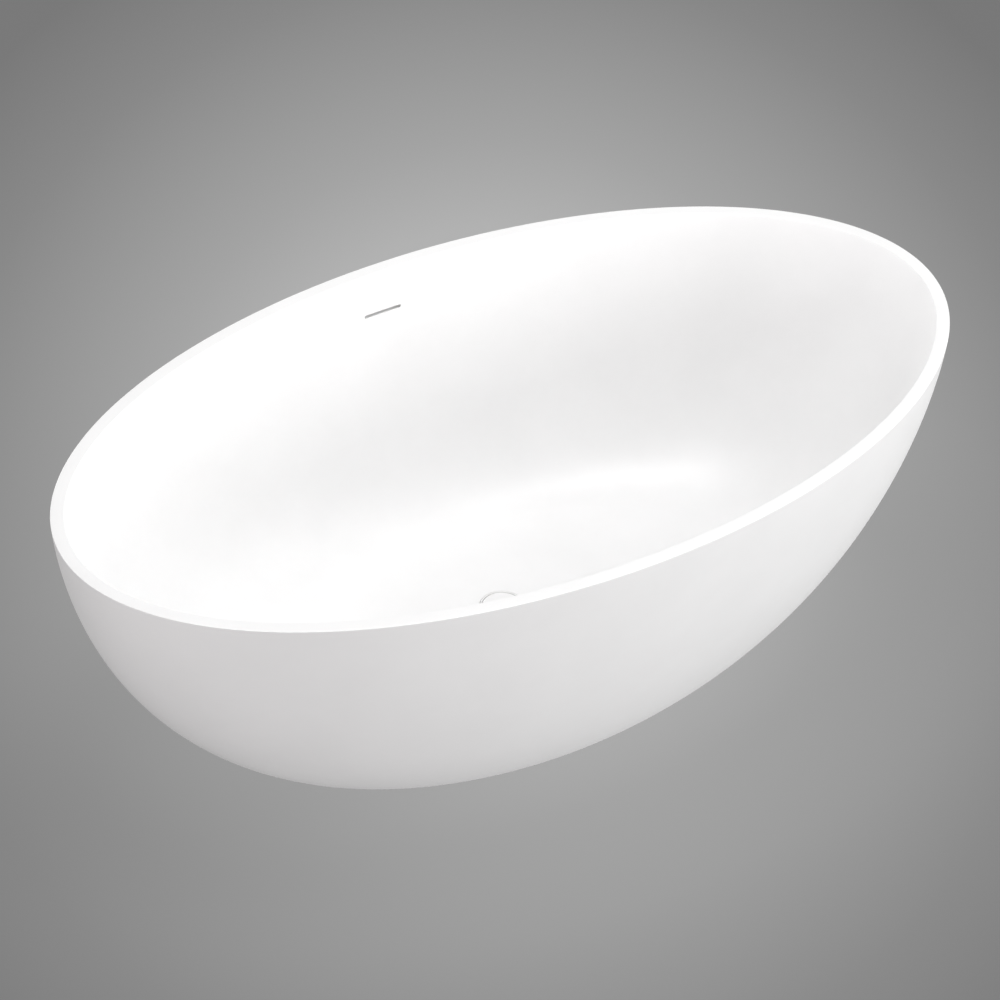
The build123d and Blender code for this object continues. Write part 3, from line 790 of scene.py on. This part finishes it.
# The soft lights: name, degrees round the bath from its front to its right, degrees up, watts, colour.
SOFT_LIGHTS = (
    ("front", 0, 10, 54, WHITE),
    ("top", 0, 90, 105, WHITE),
    ("right_low", 60, 10, 80, WHITE),
    ("right", 60, 35, 33, WHITE),
    ("back_right", 150, 10, 23, WHITE),
    ("back", 180, 10, 33, WHITE),
    ("back_left", 240, 10, 35, WHITE),
    ("left_low", 300, 10, 43, FAINT_ROSE),
)
# Where they all shine.
LIGHTS_AIM = Vector((0, 0, 0.35))


def outward(turn, lift):
    """The direction away from the bath, TURN round it from its front to its right and LIFT up."""
    return Vector((math.sin(turn) * math.cos(lift), -math.cos(turn) * math.cos(lift), math.sin(lift)))


class View:
    """The camera's axes and place: down on the bath from its front left, with a long lens.

    Angles are in radians, distances from the middle of the rim in metres, lens and sensor in millimetres.
    """
    turn = -0.5855
    tilt = 0.687
    roll = 0.0478
    away = 9.1916
    to_right = -0.0204
    up_by = -0.1552
    lens = 195.3
    sensor = 36.0

    def __init__(self):
        level = Vector((math.cos(self.turn), math.sin(self.turn), 0))
        self.back = outward(self.turn, self.tilt)
        rise = self.back.cross(level)
        self.right = math.cos(self.roll) * level + math.sin(self.roll) * rise
        self.up = math.cos(self.roll) * rise - math.sin(self.roll) * level
        self.place = (self.back * self.away + self.right * self.to_right + self.up * self.up_by
                      + Vector((0, 0, basin_high.z)))

    def on_floor(self):
        """Where the middle of the view meets the floor."""
        return self.place - self.back * (self.place.z / self.back.z)


def painted_pool_distance(finish, s):
    """How far a spot of the floor is from the middle of the painted pool of light, as a share of the way to
    its edge.
    """
    view = View()
    beyond = Vector((-view.back.x, -view.back.y, 0)).normalized() * s.painted_pool_beyond
    pool = finish.tree.nodes.new("ShaderNodeMapping")
    pool.vector_type = "TEXTURE"
    pool.inputs["Location"].default_value = view.on_floor() + beyond
    pool.inputs["Rotation"].default_value = (0, 0, view.turn)
    pool.inputs["Scale"].default_value = (s.pool, s.pool / math.sin(view.tilt), 1)
    finish.tree.links.new(finish.where, pool.inputs["Vector"])
    distance = finish.tree.nodes.new("ShaderNodeVectorMath")
    distance.operation = "LENGTH"
    finish.tree.links.new(pool.outputs["Vector"], distance.inputs[0])
    return distance.outputs["Value"]


def floor_finish(s):
    """Pale and matt, with a painted pool of light under the bath, and partly glowing so that shadows stay
    faint.
    """
    finish = Finish("studio_floor", PAINTED_POOL_MIDDLE, metallic=0.0, roughness=0.9)
    # Painted pool of light: the floor's colour is lightest under the bath and darker outwards, and part of
    # it glows.
    ramp = finish.colours(painted_pool_distance(finish, s), PAINTED_POOL_MIDDLE, PAINTED_POOL_EDGE, start=0.0, stop=1.0)
    for place, lightness in PAINTED_POOL_SHADES:
        ramp.color_ramp.elements.new(place).color = (lightness, lightness, lightness, 1)
    finish.tree.links.new(ramp.outputs["Color"], finish.shader.inputs["Emission Color"])
    finish.shader.inputs["Emission Strength"].default_value = s.floor_glow
    lit = finish.tree.nodes.new("ShaderNodeVectorMath")
    lit.operation = "SCALE"
    lit.inputs["Scale"].default_value = 1.0 - s.floor_glow
    finish.tree.links.new(ramp.outputs["Color"], lit.inputs[0])
    finish.tree.links.new(lit.outputs["Vector"], finish.shader.inputs["Base Color"])
    finish.bump(finish.noise(scale=300.0), depth=0.00005)
    finish.shader.inputs["Specular IOR Level"].default_value = FLOOR_GLOSS
    finish.material.cycles.emission_sampling = "NONE"
    return finish.material


def make_floor(s):
    mesh = bpy.data.meshes.new("studio_floor")
    corners = [(FLOOR_REACH * x, FLOOR_REACH * y, 0) for x, y in ((-1, -1), (1, -1), (1, 1), (-1, 1))]
    mesh.from_pydata(corners, [], [(0, 1, 2, 3)])
    floor = bpy.data.objects.new("studio_floor", mesh)
    bpy.context.scene.collection.objects.link(floor)
    floor.data.materials.append(floor_finish(s))


def make_light(s, name, turn, lift, watts, colour):
    light = bpy.data.lights.new(f"{name}_light", "AREA")
    light.shape = "RECTANGLE"
    light.size = s.light_width
    light.size_y = s.light_height
    light.spread = s.light_spread
    light.energy = watts * s.brightness
    light.color = colour
    lamp = bpy.data.objects.new(light.name, light)
    direction = outward(math.radians(turn), math.radians(lift))
    lamp.location = LIGHTS_AIM + direction * s.light_distance
    lamp.rotation_mode = "QUATERNION"
    lamp.rotation_quaternion = direction.to_track_quat("Z", "Y")
    bpy.context.scene.collection.objects.link(lamp)


def make_sky(s):
    world = bpy.data.worlds.new("studio")
    world.use_nodes = True
    background = world.node_tree.nodes["Background"]
    background.inputs["Color"].default_value = (*WHITE, 1)
    background.inputs["Strength"].default_value = s.sky * s.brightness
    bpy.context.scene.world = world


def make_camera():
    view = View()
    data = bpy.data.cameras.new("camera")
    data.sensor_width = view.sensor
    data.lens = view.lens
    camera = bpy.data.objects.new("camera", data)
    axes = Matrix((view.right, view.up, view.back)).transposed()
    camera.matrix_world = Matrix.Translation(view.place) @ axes.to_4x4()
    bpy.context.scene.collection.objects.link(camera)
    bpy.context.scene.camera = camera


# ------------------------------------------------------------------ operators
class BATH_OT_basin(bpy.types.Operator):
    """Builds the inner shell: well, rim, back and the overflow slot"""
    bl_idname = "bath.basin"
    bl_label = "Basin"

    def execute(self, context):
        s = context.scene.bath_shell
        d = ShellDrawing(s)
        rings = recess_rings(s, d)
        rings += well_rings(s, d, rings[-1])
        rings += rim_rings(s, d, rings[-1])
        rings += back_rings(s, d, rings[0])
        basin = oval_solid("basin_shell", rings, s.around)
        cut(basin, slot_cutter(s))
        cut(basin, screw_cutter())
        smooth(basin)
        as_resin_piece(basin, "basin")
        return {"FINISHED"}


class BATH_OT_skirt(bpy.types.Operator):
    """Builds the outer shell with its foot lip"""
    bl_idname = "bath.skirt"
    bl_label = "Skirt"

    def execute(self, context):
        s = context.scene.bath_shell
        d = ShellDrawing(s)
        foot = d.ring(d.outside[0], 0.0)
        lip = d.ring((foot[0] - s.foot_lip, skirt_low.z), s.skirt_wall)
        lip_top = (lip[0], lip[1], skirt_low.z + s.foot_lip_thickness)
        outer_low = at_height(d.outside, skirt_low.z + s.foot_arris)
        outer_high = at_height(d.outside, bond_low.z)
        outer = d.rings(between(d.outside, outer_low, outer_high, s.up), 0.0)
        inner_low = at_height(d.inside, lip_top[2])
        inner_high = at_height(d.inside, bond_low.z)
        inner_steps = s.up // HIDDEN_THINNING
        inner = d.rings(between(d.inside, inner_high, inner_low, inner_steps), s.skirt_wall)
        rounding = arris(towards(foot, lip, s.foot_arris), foot, outer[0])
        rings = [lip, *rounding, *outer[1:], *inner, lip_top]
        as_resin_piece(oval_solid("skirt_shell", rings, s.around), "skirt")
        return {"FINISHED"}


class BATH_OT_seam(bpy.types.Operator):
    """Builds the thin glued seam between the shells"""
    bl_idname = "bath.seam"
    bl_label = "Rim seam"

    def execute(self, context):
        s = context.scene.bath_shell
        d = ShellDrawing(s)
        outer = [curve_point(d.outside, at_height(d.outside, z)) for z in (bond_low.z, bond_high.z)]
        inner = [curve_point(d.inside, at_height(d.inside, z)) for z in (bond_high.z, bond_low.z)]
        rings = d.rings(outer, 0.0) + d.rings(inner, s.skirt_wall)
        as_resin_piece(oval_solid("rim_seam", rings, s.around), "rim_bond")
        return {"FINISHED"}


class BATH_OT_studs(bpy.types.Operator):
    """Builds the threaded studs of the levelling feet, each with its spanner hexagon"""
    bl_idname = "bath.studs"
    bl_label = "Levelling studs"

    def execute(self, context):
        s = context.scene.bath_fittings
        for number in FEET:
            node = f"foot_stud_{number}"
            low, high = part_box(node)
            pad_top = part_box(f"foot_pad_{number}")[1].z
            middle = ((low.x + high.x) / 2, (low.y + high.y) / 2)
            work = bmesh.new()
            threaded_rod(work, stud_radius(node), s.stud_pitch, s.thread_depth, low.z, high.z, middle)
            chamfered_hexagon(work, s.adjuster_corners, s.adjuster_chamfer,
                              pad_top, pad_top + s.adjuster_height, middle)
            stud = linked(f"threaded_stud_{number}", work)
            smooth(stud)
            dress(stud, "steel")
            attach(stud, f"foot_{number}")
            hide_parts(node)
        return {"FINISHED"}


class BATH_OT_hose(bpy.types.Operator):
    """Builds the ribbed overflow hose along its route"""
    bl_idname = "bath.hose"
    bl_label = "Overflow hose"

    def execute(self, context):
        s = context.scene.bath_fittings
        work = bmesh.new()
        rows = [hose_row(work, point, ahead, reach) for point, ahead, reach in hose_rings(s)]
        joined_rings(work, rows + rows[:1])
        hose = linked("ribbed_hose", work)
        smooth(hose, HOSE_CRISP_ANGLE)
        dress(hose, "grey_hose")
        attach(hose, "bath")
        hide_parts("overflow_hose")
        return {"FINISHED"}


class BATH_OT_fittings(bpy.types.Operator):
    """Gives every node of the frame the finish of its material slot"""
    bl_idname = "bath.fittings"
    bl_label = "Fittings"

    def execute(self, context):
        for part in frame["record"]["subparts"]:
            dress(frame["nodes"][part["node"]], part["material_slot"])
        return {"FINISHED"}


class BATH_OT_stage(bpy.types.Operator):
    """Sets the floor, the lights and the camera"""
    bl_idname = "bath.stage"
    bl_label = "Stage"

    def execute(self, context):
        s = context.scene.bath_stage
        make_floor(s)
        for light in SOFT_LIGHTS:
            make_light(s, *light)
        make_sky(s)
        make_camera()
        context.scene.view_settings.view_transform = "Standard"
        return {"FINISHED"}


OPERATORS = (BATH_OT_basin, BATH_OT_skirt, BATH_OT_seam, BATH_OT_studs, BATH_OT_hose, BATH_OT_fittings,
             BATH_OT_stage)


class BATH_PT_panel(bpy.types.Panel):
    """Lists the steps that dress the bath"""
    bl_idname = "BATH_PT_panel"
    bl_label = "Freestanding Bath"
    bl_space_type = "VIEW_3D"
    bl_region_type = "UI"
    bl_category = "Bath"

    def draw(self, context):
        for operator in OPERATORS:
            self.layout.operator(operator.bl_idname)
        scene = context.scene
        for settings in (scene.bath_shell, scene.bath_fittings, scene.bath_finish, scene.bath_stage):
            for name in settings.__annotations__:
                self.layout.prop(settings, name)


CLASSES = (BathShellSettings, BathFittingSettings, BathFinishSettings, BathStageSettings, *OPERATORS,
           BATH_PT_panel)


def register():
    for cls in CLASSES:
        bpy.utils.register_class(cls)
    bpy.types.Scene.bath_shell = PointerProperty(type=BathShellSettings)
    bpy.types.Scene.bath_fittings = PointerProperty(type=BathFittingSettings)
    bpy.types.Scene.bath_finish = PointerProperty(type=BathFinishSettings)
    bpy.types.Scene.bath_stage = PointerProperty(type=BathStageSettings)


def unregister():
    del bpy.types.Scene.bath_shell
    del bpy.types.Scene.bath_fittings
    del bpy.types.Scene.bath_finish
    del bpy.types.Scene.bath_stage
    for cls in reversed(CLASSES):
        bpy.utils.unregister_class(cls)


def main():
    register()
    bpy.ops.bath.basin()
    bpy.ops.bath.skirt()
    bpy.ops.bath.seam()
    bpy.ops.bath.studs()
    bpy.ops.bath.hose()
    bpy.ops.bath.fittings()
    bpy.ops.bath.stage()


if __name__ == "__main__":
    main()
